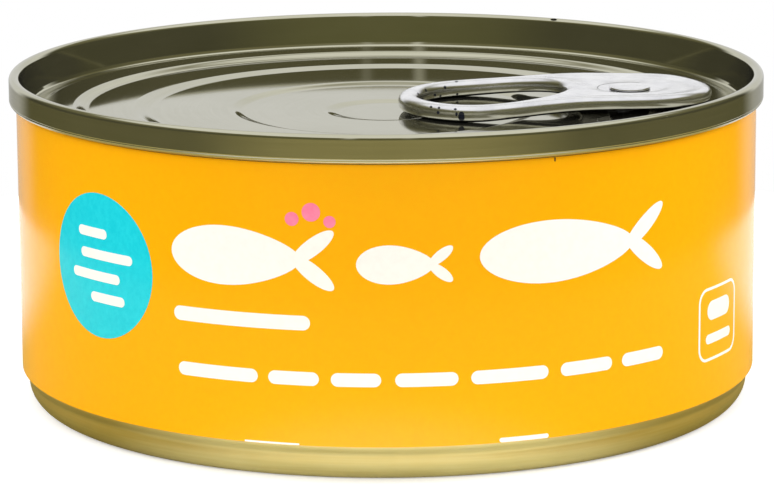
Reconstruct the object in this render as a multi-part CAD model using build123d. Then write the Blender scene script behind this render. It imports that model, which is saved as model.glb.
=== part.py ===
from build123d import *

import math
import os

# Shut tuna can: a drawn steel cup, an easy-open end seamed on top of it, a ring tab riveted to
# the end, and a paper sleeve round the wall. Millimetres, +Z up. The origin is the centre of the
# foot ring, on the ground. The tab lies along +X, with its nose towards the rim.

# Overall sizes
can_height = 38.3
seam_diameter = 87.3

# Double seam, where the end is rolled over the cup's flange
seam_height = 3.1
seam_thickness = 1.25
seam_overhang = 0.93
seam_top_round = 0.55
seam_bottom_round = 0.35

# Drawn cup
shoulder_inset = 0.65
shoulder_bottom = 2.9
shoulder_top = 4.2
foot_corner_radius = 2.6
foot_width = 1.9
foot_inner_round = 0.5
base_recess = 1.0
base_step_drop = 0.35
base_step_width = 1.6
base_step_places = (0.74, 0.42)

# Easy-open end
sheet = 0.3
chuck_depth = 4.1
chuck_lean = 0.8
groove_width = 1.1
groove_height = 0.3
panel_shoulder_run = 1.2
# Steps down towards the middle: place as a share of the panel's radius, width and drop
panel_steps = (
    (0.901, 1.8, 0.50),
    (0.719, 2.5, 0.27),
    (0.440, 1.6, 0.33),
    (0.164, 1.9, 0.25),
)

# Ring tab, seen from above: round ring end, round nose end, straight flanks
tab_length = 36.4
ring_radius = 10.1
nose_radius = 8.6
ring_band = 2.25
hole_length = 17.0
nose_gap = 1.5
# Ring tab, seen from the side
ring_thickness = 1.95
crest_thickness = 1.4
nose_thickness = 1.25
tab_arch = 0.87
nose_droop = 0.2
arch_start = 6.5
crest_before_rivet = 4.2
crest_after_rivet = 4.6
tab_edge_round = 0.58
curl_width = 1.7
web_sheet = 0.4
profile_stations = 14

# Rivet of the end, and the tab's tongue that it clamps
rivet_from_nose = 9.5
rivet_stem_radius = 1.6
rivet_head_radius = 2.5
rivet_head_height = 0.35
rivet_head_round = 0.245
rivet_boss_flare = 0.5
tongue_dip = 0.25
tongue_radius = 3.6
slit_width = 0.45
slit_half_angle = 115.0
running_clearance = 0.05

# Paper sleeve
label_thickness = 0.12
label_gap_top = 0.2
label_overlap_angle = 9.0

# Places that follow from the sizes above
seam_radius = seam_diameter / 2
body_radius = seam_radius - seam_overhang
rim_radius = seam_radius - seam_thickness
seam_bottom = can_height - seam_height
chuck_foot_radius = rim_radius - chuck_lean
groove_floor = can_height - chuck_depth
panel_edge_radius = chuck_foot_radius - groove_width - panel_shoulder_run
panel_top = groove_floor + groove_height
shoulder_radius = body_radius - shoulder_inset
foot_outer_radius = shoulder_radius - foot_corner_radius
foot_inner_radius = foot_outer_radius - foot_width
tab_nose_x = panel_edge_radius - nose_gap
tab_heel_x = tab_nose_x - tab_length
ring_centre_x = tab_heel_x + ring_radius
nose_centre_x = tab_nose_x - nose_radius
rivet_x = tab_nose_x - rivet_from_nose
crest_start = tab_length - rivet_from_nose - crest_before_rivet
crest_end = tab_length - rivet_from_nose + crest_after_rivet
rivet_boss_radius = rivet_head_radius + rivet_boss_flare


def panel_points():
    """Top of the end's panel as (radius, height), from its edge in to the middle."""
    points = [(panel_edge_radius, panel_top)]
    height = panel_top
    for place, width, drop in panel_steps:
        middle = place * panel_edge_radius
        points.append((middle + width / 2, height))
        height -= drop
        points.append((middle - width / 2, height))
    points.append((0, height))
    return points


def panel_height(radius):
    """Height of the panel's top at a radius."""
    points = panel_points()
    for (outer, high), (inner, low) in zip(points, points[1:]):
        if inner <= radius <= outer:
            return low + (high - low) * (radius - inner) / (outer - inner)
    return panel_top


def end_top_points():
    """Inside of the end from the foot of its chuck wall to the middle, as (radius, height)."""
    groove_inner = chuck_foot_radius - groove_width
    return [(chuck_foot_radius, groove_floor), (groove_inner, groove_floor), *panel_points()]


def end_under_points():
    """Underside of the end, one sheet below its top, from the seam to the middle."""
    lean = chuck_lean * (chuck_depth + sheet - seam_height) / chuck_depth
    outer_foot = chuck_foot_radius + sheet
    under = [(outer_foot + lean, seam_bottom), (outer_foot, groove_floor - sheet)]
    return under + [(radius, height - sheet) for radius, height in end_top_points()[1:]]


def base_points():
    """Underside of the cup from the foot ring to the middle, stepped like the end."""
    points = [(foot_inner_radius - base_recess, base_recess)]
    height = base_recess
    for place in base_step_places:
        middle = place * foot_inner_radius
        points.append((middle + base_step_width / 2, height))
        height -= base_step_drop
        points.append((middle - base_step_width / 2, height))
    points.append((0, height))
    return points


def turned(points, rounds):
    """Solid of revolution about Z from (radius, height) points, with some corners rounded."""
    face = make_face(Polyline(*points, close=True))
    for corner, radius in rounds:
        nearest = face.vertices().sort_by_distance((*corner, 0))[0]
        face = fillet(nearest, radius)
    return revolve(Plane.XZ * face, Axis.Z)


def make_can_body():
    """Drawn cup with its contents: one closed solid up to the underside of the end."""
    foot_corner = (shoulder_radius, 0)
    foot_inner = (foot_inner_radius, 0)
    points = [
        *reversed(base_points()),
        foot_inner,
        foot_corner,
        (shoulder_radius, shoulder_bottom),
        (body_radius, shoulder_top),
        (body_radius, seam_bottom),
        *end_under_points(),
    ]
    rounds = ((foot_corner, foot_corner_radius), (foot_inner, foot_inner_round))
    return turned(points, rounds)


def make_lid():
    """Easy-open end: rolled seam, chuck wall, groove, stepped panel and the rivet."""
    rim = (rim_radius, can_height)
    seam_top = (seam_radius, can_height)
    seam_foot = (seam_radius, seam_bottom)
    points = [rim, seam_top, seam_foot, *end_under_points(), *reversed(end_top_points())]
    rounds = ((rim, seam_top_round), (seam_top, seam_top_round), (seam_foot, seam_bottom_round))
    return turned(points, rounds) + make_rivet()


def tab_top(x):
    """Height of the tab's top at a distance from its heel: it arches, then droops at the nose."""
    rise = smooth_step((x - arch_start) / (crest_start - arch_start))
    fall = smooth_step((x - crest_end) / (tab_length - crest_end))
    return tab_rest_height() + ring_thickness + tab_arch * rise - nose_droop * fall


def tab_thickness(x):
    """Height of the tab's rolled edge at a distance from its heel."""
    thin = smooth_step((x - arch_start) / (crest_start - arch_start))
    tip = smooth_step((x - crest_end) / (tab_length - crest_end))
    thinned = ring_thickness + (crest_thickness - ring_thickness) * thin
    return thinned + (nose_thickness - crest_thickness) * tip


def smooth_step(share):
    """Ease from 0 to 1 with level ends."""
    share = min(max(share, 0), 1)
    return share * share * (3 - 2 * share)


def tab_rest_height():
    """Height that the ring lies at: the panel under its widest place."""
    reach = math.hypot(ring_centre_x, ring_radius)
    return max(panel_height(reach), panel_height(abs(tab_heel_x)))


def tab_strip(low, high):
    """Strip along the tab between two heights, each a function of the distance from the heel."""
    half_width = 2 * max(ring_radius, nose_radius)
    span = tab_length / (profile_stations - 1)
    stations = [index * span for index in range(profile_stations)]
    lower = Spline(*[(tab_heel_x + x, low(x)) for x in stations])
    upper = Spline(*[(tab_heel_x + x, high(x)) for x in stations])
    ends = [Line(lower @ end, upper @ end) for end in (0, 1)]
    side = make_face([lower, upper, *ends])
    return extrude(Plane.XZ * side, half_width, both=True)


def tab_prism(inset):
    """Upright prism over the tab's outline, drawn in by an inset all round."""
    ring = Pos(ring_centre_x, 0) * Circle(ring_radius - inset)
    nose = Pos(nose_centre_x, 0) * Circle(nose_radius - inset)
    return extrude(make_hull(ring.edges() + nose.edges()), can_height)


def finger_hole():
    """Upright cutter of the finger hole: round at the heel, drawn out towards the nose."""
    heel_radius = ring_radius - ring_band
    reach = hole_length - heel_radius
    half_plane = Rectangle(2 * hole_length, 2 * hole_length)
    round_half = Circle(heel_radius) & Pos(-hole_length, 0) * half_plane
    long_half = Ellipse(reach, heel_radius) & Pos(hole_length, 0) * half_plane
    return Pos(ring_centre_x, 0) * extrude(round_half + long_half, can_height)


def tongue_top():
    """Height of the flat tongue that the rivet clamps."""
    return tab_top(rivet_x - tab_heel_x) - tongue_dip


def make_rivet():
    """Hollow boss of the end, its stem and the flattened head over the tongue."""
    under_tongue = tongue_top() - web_sheet - running_clearance
    head_bottom = tongue_top() + running_clearance
    panel_low = panel_height(rivet_x) - sheet / 2
    boss_height = under_tongue - panel_low
    boss = Pos(rivet_x, 0, panel_low + boss_height / 2) * Cone(
        rivet_boss_radius, rivet_head_radius, boss_height
    )
    stem_height = head_bottom - under_tongue
    stem = Pos(rivet_x, 0, under_tongue + stem_height / 2) * Cylinder(rivet_stem_radius, stem_height)
    head = Pos(rivet_x, 0, head_bottom + rivet_head_height / 2) * Cylinder(
        rivet_head_radius, rivet_head_height
    )
    head = fillet(head.edges().group_by(Axis.Z)[-1], rivet_head_round)
    return boss + stem + head


def make_ring_tab():
    """Pressed tab: rolled edge, finger ring, thin web and the slit tongue round the rivet."""
    tab = tab_prism(0) & tab_strip(lambda x: tab_top(x) - tab_thickness(x), tab_top)
    tab -= finger_hole()
    rims = [edge for edge in tab.edges() if edge.length > 2 * ring_thickness]
    tab = fillet(rims, tab_edge_round)

    web_under = tab_prism(curl_width) & tab_strip(
        lambda x: tab_top(x) - 2 * ring_thickness, lambda x: tab_top(x) - web_sheet
    )
    ring_side = Pos(ring_centre_x, 0) * extrude(Circle(ring_radius), can_height)
    tab -= web_under - ring_side - stretched_hole_wall()

    outer = tongue_radius + slit_width
    tongue_middle = tongue_top() - web_sheet / 2
    dish = Pos(rivet_x, 0, tongue_top() + ring_thickness / 2) * Cylinder(outer, ring_thickness)
    tongue = Pos(rivet_x, 0, tongue_middle) * Cylinder(outer + web_sheet, web_sheet)
    stem_hole = Circle(rivet_stem_radius + running_clearance)
    tab = tab - dish + tongue
    tab -= slit() + Pos(rivet_x, 0) * extrude(stem_hole, can_height)
    return tab


def stretched_hole_wall():
    """Upright block that keeps the rolled edge along the finger hole's nose side."""
    grown = hole_length - (ring_radius - ring_band) + ring_band
    return Pos(ring_centre_x, 0) * extrude(Ellipse(grown, ring_radius), can_height)


def slit():
    """C-shaped slit that frees the tongue, open towards the nose."""
    middle = tongue_radius + slit_width / 2
    arc = CenterArc((0, 0), middle, 180 - slit_half_angle, 2 * slit_half_angle)
    return Pos(rivet_x, 0) * extrude(trace(arc, slit_width), can_height)


def make_label():
    """Paper sleeve, glued with an overlap at the back."""
    bottom = shoulder_top
    height = seam_bottom - label_gap_top - bottom
    outer = body_radius + label_thickness
    low = (Align.CENTER, Align.CENTER, Align.MIN)
    sleeve = Cylinder(outer, height, align=low) - Cylinder(body_radius, height, align=low)
    lap = Cylinder(outer + label_thickness, height, align=low) - Cylinder(outer, height, align=low)
    half = math.tan(math.radians(label_overlap_angle / 2)) * seam_radius
    wedge = make_face(Polyline((0, 0), (half, seam_radius), (-half, seam_radius), close=True))
    return Pos(0, 0, bottom) * (sleeve + (lap & extrude(wedge, height)))


def main():
    """Write each piece to its own file."""
    os.makedirs("parts", exist_ok=True)
    pieces = {
        "can_body": make_can_body(),
        "lid": make_lid(),
        "ring_tab": make_ring_tab(),
        "label": make_label(),
    }
    for name, piece in pieces.items():
        export_step(piece, f"parts/{name}.step")


main()
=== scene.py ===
"""Looks of a shut tuna can: lacquered steel cup and end, bright ring tab and printed paper sleeve."""

import logging
import math
from dataclasses import dataclass, field
from enum import Enum
from typing import Callable, Iterable, Sequence

import bmesh
import bpy
from mathutils import Matrix, Vector


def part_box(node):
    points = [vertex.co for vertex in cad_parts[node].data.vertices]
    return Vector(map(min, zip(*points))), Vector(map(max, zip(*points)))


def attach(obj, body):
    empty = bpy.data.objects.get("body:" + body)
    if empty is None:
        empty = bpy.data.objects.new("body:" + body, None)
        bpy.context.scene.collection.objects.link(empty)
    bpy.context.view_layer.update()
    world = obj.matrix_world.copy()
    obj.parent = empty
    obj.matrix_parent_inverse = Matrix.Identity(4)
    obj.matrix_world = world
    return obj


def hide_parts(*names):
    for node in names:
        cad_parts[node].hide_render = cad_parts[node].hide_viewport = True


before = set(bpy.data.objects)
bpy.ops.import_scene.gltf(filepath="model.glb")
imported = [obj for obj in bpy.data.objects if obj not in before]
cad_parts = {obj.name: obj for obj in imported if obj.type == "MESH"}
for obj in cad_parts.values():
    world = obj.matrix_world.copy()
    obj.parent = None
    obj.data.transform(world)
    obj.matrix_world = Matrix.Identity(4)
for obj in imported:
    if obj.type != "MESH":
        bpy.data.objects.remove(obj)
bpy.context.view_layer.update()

LOG = logging.getLogger("tuna_can")
MM = 0.001

Profile = list[tuple[float, float]]


# ---------------------------------------------------------------- colours and nodes


def linear(hex_colour: str) -> tuple[float, float, float, float]:
    """Turn an sRGB hex colour into linear RGBA.

    Args:
        hex_colour: Colour as "rrggbb".

    Returns:
        Linear red, green, blue and an alpha of 1.
    """
    channels = [int(hex_colour[place:place + 2], 16) / 255 for place in (0, 2, 4)]
    curved = [c / 12.92 if c <= 0.04045 else ((c + 0.055) / 1.055) ** 2.4 for c in channels]
    return (*curved, 1.0)


def add_node(tree: bpy.types.NodeTree, kind: str, links: dict | None = None, **settings) -> bpy.types.Node:
    """Add a node, set its properties and sockets, and link its inputs.

    Args:
        tree: Node tree that gets the node.
        kind: Blender's node type name.
        links: Input name or index to the output socket that feeds it.
        settings: Node properties by name; a key "inputs" holds socket values by name or index.

    Returns:
        The new node.
    """
    node = tree.nodes.new(kind)
    values = settings.pop("inputs", {})
    for name, value in settings.items():
        setattr(node, name, value)
    for name, value in values.items():
        node.inputs[name].default_value = value
    for name, socket in (links or {}).items():
        tree.links.new(socket, node.inputs[name])
    return node


def ramp(tree: bpy.types.NodeTree, factor: bpy.types.NodeSocket, stops: Sequence[tuple[float, str]],
         interpolation: str = "LINEAR") -> bpy.types.NodeSocket:
    """Add a colour ramp.

    Args:
        tree: Node tree that gets the ramp.
        factor: Socket that drives it.
        stops: Position and sRGB hex colour of each stop.
        interpolation: How colours blend between stops.

    Returns:
        The ramp's colour output.
    """
    node = add_node(tree, "ShaderNodeValToRGB", {0: factor})
    node.color_ramp.interpolation = interpolation
    while len(node.color_ramp.elements) < len(stops):
        node.color_ramp.elements.new(0.5)
    for element, (position, colour) in zip(node.color_ramp.elements, stops):
        element.position = position
        element.color = linear(colour)
    return node.outputs[0]


def noise(tree: bpy.types.NodeTree, place: bpy.types.NodeSocket, size_mm: float, detail: float,
          roughness: float = 0.5) -> bpy.types.NodeSocket:
    """Add noise on coordinates in metres.

    Args:
        tree: Node tree that gets the node.
        place: The coordinates.
        size_mm: Size of its features, in millimetres.
        detail: Octaves of finer noise.
        roughness: Strength of the finer octaves.

    Returns:
        The noise, from 0 to 1.
    """
    return add_node(tree, "ShaderNodeTexNoise", {"Vector": place}, inputs={
        "Scale": 1 / (size_mm * MM), "Detail": detail, "Roughness": roughness}).outputs[0]


def feed(tree: bpy.types.NodeTree, entry: bpy.types.NodeSocket, value: bpy.types.NodeSocket | float | str) -> None:
    """Give an input socket what it takes.

    Args:
        tree: The node's tree.
        entry: The input socket.
        value: A socket to link, a number, or an sRGB hex colour.
    """
    if isinstance(value, bpy.types.NodeSocket):
        tree.links.new(value, entry)
    else:
        entry.default_value = linear(value) if isinstance(value, str) else value


def calculate(tree: bpy.types.NodeTree, operation: str,
              *values: bpy.types.NodeSocket | float) -> bpy.types.NodeSocket:
    """Add a maths node.

    Args:
        tree: Node tree that gets the node.
        operation: Blender's name of the operation.
        values: Its inputs in order, each a socket or a number.

    Returns:
        The result.
    """
    node = add_node(tree, "ShaderNodeMath", operation=operation)
    for entry, value in zip(node.inputs, values):
        feed(tree, entry, value)
    return node.outputs[0]


def spread(tree: bpy.types.NodeTree, value: bpy.types.NodeSocket, start: float, end: float,
           low: float = 0.0, high: float = 1.0, interpolation: str = "SMOOTHSTEP") -> bpy.types.NodeSocket:
    """Map one range of a value to another.

    Args:
        tree: Node tree that gets the node.
        value: The value.
        start: Value that gives low.
        end: Value that gives high.
        low: Result at the start.
        high: Result at the end.
        interpolation: How the result moves between them.

    Returns:
        The mapped value.
    """
    return add_node(tree, "ShaderNodeMapRange", {0: value}, interpolation_type=interpolation, inputs={
        "From Min": start, "From Max": end, "To Min": low, "To Max": high}).outputs[0]


def blend(tree: bpy.types.NodeTree, share: bpy.types.NodeSocket, first: bpy.types.NodeSocket | str,
          second: bpy.types.NodeSocket | str) -> bpy.types.NodeSocket:
    """Mix two colours.

    Args:
        tree: Node tree that gets the node.
        share: How much of the second colour is in the mix.
        first: A socket or an sRGB hex colour.
        second: A socket or an sRGB hex colour.

    Returns:
        The mixed colour.
    """
    node = add_node(tree, "ShaderNodeMix", {0: share}, data_type="RGBA")
    feed(tree, node.inputs[6], first)
    feed(tree, node.inputs[7], second)
    return node.outputs[2]


@dataclass(frozen=True)
class Finish:
    """What every finish has: a name, and a material that its make method builds."""

    name: str

    def start(self) -> tuple[bpy.types.Material, bpy.types.NodeTree, bpy.types.Node, bpy.types.NodeSocket]:
        """Begin a material.

        Returns:
            The material, its tree, its principled shader and its Object coordinates.
        """
        material = bpy.data.materials.new(self.name)
        material.use_nodes = True
        tree = material.node_tree
        shader = tree.nodes["Principled BSDF"]
        place = add_node(tree, "ShaderNodeTexCoord").outputs["Object"]
        return material, tree, shader, place

    def add_bump(self, tree: bpy.types.NodeTree, shader: bpy.types.Node, height: bpy.types.NodeSocket,
                 depth_mm: float) -> None:
        """Give the shader a bump of a real depth.

        Args:
            tree: The material's tree.
            shader: The principled shader.
            height: Pattern from 0 to 1.
            depth_mm: Depth from 0 to 1 of the pattern, in millimetres.
        """
        bump = add_node(tree, "ShaderNodeBump", {"Height": height},
                        inputs={"Distance": depth_mm * MM, "Strength": 1.0})
        tree.links.new(bump.outputs[0], shader.inputs["Normal"])


@dataclass(frozen=True)
class LacqueredTinplate(Finish):
    """Tin-plated steel sheet under a thin olive-gold food lacquer, pressed or drawn to shape.

    The eye sees clear but slightly soft reflections tinted olive, with a faint cloudiness where the
    lacquer varies and fine grain along the rolling direction of the sheet.
    """

    tint: str = "c1bfa8"
    tint_thin: str = "c9c7b2"
    grazing: str = "e0e0e0"
    roughness: float = 0.12
    roughness_spread: float = 0.05
    metallic: float = 0.97
    ripple_mm: float = 0.0006
    cloud_mm: float = 9.0
    streak_length_mm: float = 14.0
    streak_width_mm: float = 0.3

    def make(self) -> bpy.types.Material:
        """Build the material.

        Returns:
            The finished material.
        """
        material, tree, shader, place = self.start()
        split = add_node(tree, "ShaderNodeSeparateXYZ", {0: place}).outputs
        turn = calculate(tree, "ARCTAN2", split["Y"], split["X"])
        flat = add_node(tree, "ShaderNodeVectorMath", {0: place}, operation="MULTIPLY",
                        inputs={1: (1, 1, 0)}).outputs[0]
        reach = add_node(tree, "ShaderNodeVectorMath", {0: flat}, operation="LENGTH").outputs["Value"]
        along = calculate(tree, "MULTIPLY", turn, reach)
        drawn_out = calculate(tree, "MULTIPLY", along, self.streak_width_mm / self.streak_length_mm)
        rolled = add_node(tree, "ShaderNodeCombineXYZ", {0: drawn_out, 1: reach, 2: split["Z"]}).outputs[0]
        streak = noise(tree, rolled, self.streak_width_mm, 3.0)
        cloud = noise(tree, place, self.cloud_mm, 3.0)
        both = add_node(tree, "ShaderNodeMix", {2: streak, 3: cloud},
                        data_type="FLOAT", inputs={0: 0.5}).outputs[0]
        tree.links.new(ramp(tree, both, ((0.38, self.tint), (0.62, self.tint_thin))), shader.inputs["Base Color"])
        rough = spread(tree, streak, 0.0, 1.0, self.roughness, self.roughness + self.roughness_spread, "LINEAR")
        tree.links.new(rough, shader.inputs["Roughness"])
        self.add_bump(tree, shader, streak, self.ripple_mm)
        shader.inputs["Metallic"].default_value = self.metallic
        shader.inputs["Specular Tint"].default_value = linear(self.grazing)
        return material


@dataclass(frozen=True)
class RolledTabMetal(Finish):
    """Bare bright tab stock, blanked, curled and tumbled.

    The eye sees silvery soft-mirror metal, a little hazy; faces that turn downwards get a painted shade, a dark
    colour mixed into the base colour.
    """

    bright: str = "ececee"
    dull: str = "dcdce0"
    roughness: float = 0.22
    haze_roughness: float = 0.08
    # The dark colour below is painted shade for faces that turn downwards; it is mixed in as the normal's height
    # falls between the two values after it.
    under: str = "24221a"
    painted_shade_from: float = -0.5
    painted_shade_to: float = -0.85
    haze_mm: float = 2.5
    peel_mm: float = 0.5
    peel_depth_mm: float = 0.0009

    def make(self) -> bpy.types.Material:
        """Build the material.

        Returns:
            The finished material.
        """
        material, tree, shader, place = self.start()
        haze = noise(tree, place, self.haze_mm, 4.0)
        upper = ramp(tree, haze, ((0.25, self.dull), (0.6, self.bright)))
        # Painted shade: the dark colour is mixed in on faces that turn downwards.
        facing = add_node(tree, "ShaderNodeNewGeometry").outputs["Normal"]
        up = add_node(tree, "ShaderNodeSeparateXYZ", {0: facing}).outputs["Z"]
        below = spread(tree, up, self.painted_shade_from, self.painted_shade_to)
        tree.links.new(blend(tree, below, upper, self.under), shader.inputs["Base Color"])
        rough = spread(tree, haze, 0.0, 1.0, self.roughness + self.haze_roughness, self.roughness, "LINEAR")
        tree.links.new(rough, shader.inputs["Roughness"])
        peel = noise(tree, place, self.peel_mm, 1.0)
        self.add_bump(tree, shader, peel, self.peel_depth_mm)
        shader.inputs["Metallic"].default_value = 1.0
        return material


@dataclass(frozen=True)
class PrintedPaper(Finish):
    """Coated label paper, offset printed and lightly varnished.

    The eye sees an even ink film with faint mottling from the paper's fibres and a low satin gloss.
    """

    ink: str = "ffb000"
    ink_thin: str = "ffb400"
    roughness: float = 0.14
    specular: float = 0.5
    mottle_mm: float = 0.8
    fibre_mm: float = 0.35
    fibre_depth_mm: float = 0.002

    def make(self) -> bpy.types.Material:
        """Build the material.

        Returns:
            The finished material.
        """
        material, tree, shader, place = self.start()
        mottle = noise(tree, place, self.mottle_mm, 5.0, 0.65)
        tree.links.new(ramp(tree, mottle, ((0.35, self.ink), (0.65, self.ink_thin))), shader.inputs["Base Color"])
        fibre = noise(tree, place, self.fibre_mm, 3.0)
        self.add_bump(tree, shader, fibre, self.fibre_depth_mm)
        shader.inputs["Roughness"].default_value = self.roughness
        shader.inputs["Specular IOR Level"].default_value = self.specular
        return material


@dataclass(frozen=True)
class StudioFloor(Finish):
    """Matt white paper sweep under the can; the eye sees only its soft contact shadow."""

    white: str = "f4f4f4"
    lift: float = 0.4
    # The first table colour is a painted pool of light in front of the can; the second is the table's own tan.
    painted_light_pool: str = "ffffee"
    table_far: str = "b8ac70"
    front_m: float = 0.043
    near_m: float = 0.012
    far_m: float = 0.040
    behind_from_m: float = 0.015
    behind_to_m: float = 0.05
    roughness: float = 0.9
    specular: float = 0.1

    def make(self) -> bpy.types.Material:
        """Build the material: white to the eye, and to metal the tan table of the room with a painted pool of light
        just in front of the can.

        Returns:
            The finished material.
        """
        material, tree, shader, place = self.start()
        path = add_node(tree, "ShaderNodeLightPath").outputs["Is Camera Ray"]
        y = add_node(tree, "ShaderNodeSeparateXYZ", {0: place}).outputs["Y"]
        # Painted light: a near-white pool on the tan table in front of the can, full close to it and gone further
        # out; only rays that are not camera rays see it.
        from_front = add_node(tree, "ShaderNodeVectorMath", {0: place}, operation="DISTANCE",
                              inputs={1: (0.0, -self.front_m, 0.0)}).outputs["Value"]
        share = spread(tree, from_front, self.near_m, self.far_m)
        tan = ramp(tree, share, ((0.0, self.painted_light_pool), (1.0, self.table_far)))
        table = blend(tree, spread(tree, y, self.behind_from_m, self.behind_to_m), tan, self.white)
        tree.links.new(blend(tree, path, table, self.white), shader.inputs["Base Color"])
        shader.inputs["Roughness"].default_value = self.roughness
        shader.inputs["Specular IOR Level"].default_value = self.specular
        lift = calculate(tree, "MULTIPLY", path, self.lift)
        tree.links.new(lift, shader.inputs["Emission Strength"])
        shader.inputs["Emission Color"].default_value = (1, 1, 1, 1)
        return material


class Ink(Enum):
    """Inks of the sleeve's print, as sRGB hex for the full and the thin film."""

    WHITE = ("ffffff", "fafafa")
    CYAN = ("08cfe6", "1cd8ec")
    PINK = ("ff80a8", "ff8eb2")
    BLUE_BLACK = ("10131f", "181c2c")

    def finish(self) -> PrintedPaper:
        """Finish of a field printed in this ink."""
        return PrintedPaper(f"printed_paper_{self.name.lower()}", ink=self.value[0], ink_thin=self.value[1])


# ---------------------------------------------------------------- mesh helpers


def placed(name: str, bm: bmesh.types.BMesh) -> bpy.types.Object:
    """Put a shape in the scene as an object of its own, and free the shape."""
    mesh = bpy.data.meshes.new(name)
    bm.to_mesh(mesh)
    bm.free()
    made = bpy.data.objects.new(name, mesh)
    bpy.context.scene.collection.objects.link(made)
    return made


def absorb(bm: bmesh.types.BMesh, other: bmesh.types.BMesh) -> None:
    """Add another shape to a shape, and free the other."""
    mesh = bpy.data.meshes.new("absorbed")
    other.to_mesh(mesh)
    other.free()
    bm.from_mesh(mesh)
    bpy.data.meshes.remove(mesh)


def stand(bm: bmesh.types.BMesh, x: float = 0.0, z: float = 0.0) -> None:
    """Turn a flat shape from the XY plane up into the XZ plane, then move it along X and up."""
    bmesh.ops.rotate(bm, matrix=Matrix.Rotation(math.pi / 2, 3, "X"), verts=bm.verts)
    bmesh.ops.translate(bm, vec=(x, 0, z), verts=bm.verts)


def finish_mesh(name: str, bm: bmesh.types.BMesh, material: bpy.types.Material,
                replaces: Sequence[str] = (), sharp_deg: float = 40.0) -> bpy.types.Object:
    """Turn a bmesh in millimetres into a piece of the can.

    Args:
        name: Piece name.
        bm: Shape, in millimetres; it is freed.
        material: Its finish.
        replaces: CAD nodes that it stands for.
        sharp_deg: Edges that turn more than this stay sharp.

    Returns:
        The new object, at the origin.
    """
    bmesh.ops.remove_doubles(bm, verts=bm.verts, dist=1e-4)
    bmesh.ops.dissolve_degenerate(bm, edges=bm.edges, dist=1e-5)
    bmesh.ops.recalc_face_normals(bm, faces=bm.faces)
    bmesh.ops.scale(bm, vec=(MM, MM, MM), verts=bm.verts)
    for face in bm.faces:
        face.smooth = True
    for edge in bm.edges:
        if edge.is_manifold and edge.calc_face_angle(0.0) > math.radians(sharp_deg):
            edge.smooth = False
    piece = placed(name, bm)
    piece.data.materials.append(material)
    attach(piece, "root")
    if replaces:
        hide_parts(*replaces)
    LOG.info("%s: %d faces", name, len(piece.data.polygons))
    return piece


def held(points: Profile, hold: float = 0.04) -> Profile:
    """Add a point just inside each end of the long straight stretches, so that they shade straight.

    Args:
        points: Radius and height of each point, in millimetres.
        hold: Distance of the added points from the corners.

    Returns:
        The profile with the added points.
    """
    result = [points[0]]
    for (x0, y0), (x1, y1) in zip(points, points[1:]):
        length = math.hypot(x1 - x0, y1 - y0)
        if length > 6 * hold:
            for share in (hold / length, 1 - hold / length):
                result.append((x0 + (x1 - x0) * share, y0 + (y1 - y0) * share))
        result.append((x1, y1))
    return result


def turned(points: Profile, segments: int) -> bmesh.types.BMesh:
    """Spin a profile about the can's axis.

    Args:
        points: Radius and height of each point, in millimetres.
        segments: Steps round the full turn.

    Returns:
        The turned shape.
    """
    bm = bmesh.new()
    verts = [bm.verts.new((radius, 0, height)) for radius, height in held(points)]
    edges = [bm.edges.new(pair) for pair in zip(verts, verts[1:])]
    bmesh.ops.spin(bm, geom=verts + edges, cent=(0, 0, 0), axis=(0, 0, 1), angle=math.tau,
                   steps=segments, use_merge=True, use_duplicate=False)
    bmesh.ops.remove_doubles(bm, verts=bm.verts, dist=1e-4)
    return bm


def smooth_step(share: float) -> float:
    """Ease from 0 to 1 with level ends."""
    share = min(max(share, 0.0), 1.0)
    return share * share * (3 - 2 * share)


def round_corner(centre: tuple[float, float], radius: float, start: float, end: float, steps: int) -> Profile:
    """Points of a rounded corner.

    Args:
        centre: Radius and height of the arc's centre.
        radius: Arc radius.
        start: First angle in degrees.
        end: Last angle in degrees.
        steps: Number of steps.

    Returns:
        The arc's points.
    """
    angles = [math.radians(start + (end - start) * step / steps) for step in range(steps + 1)]
    return [(centre[0] + radius * math.cos(angle), centre[1] + radius * math.sin(angle)) for angle in angles]


# ---------------------------------------------------------------- cup


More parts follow.
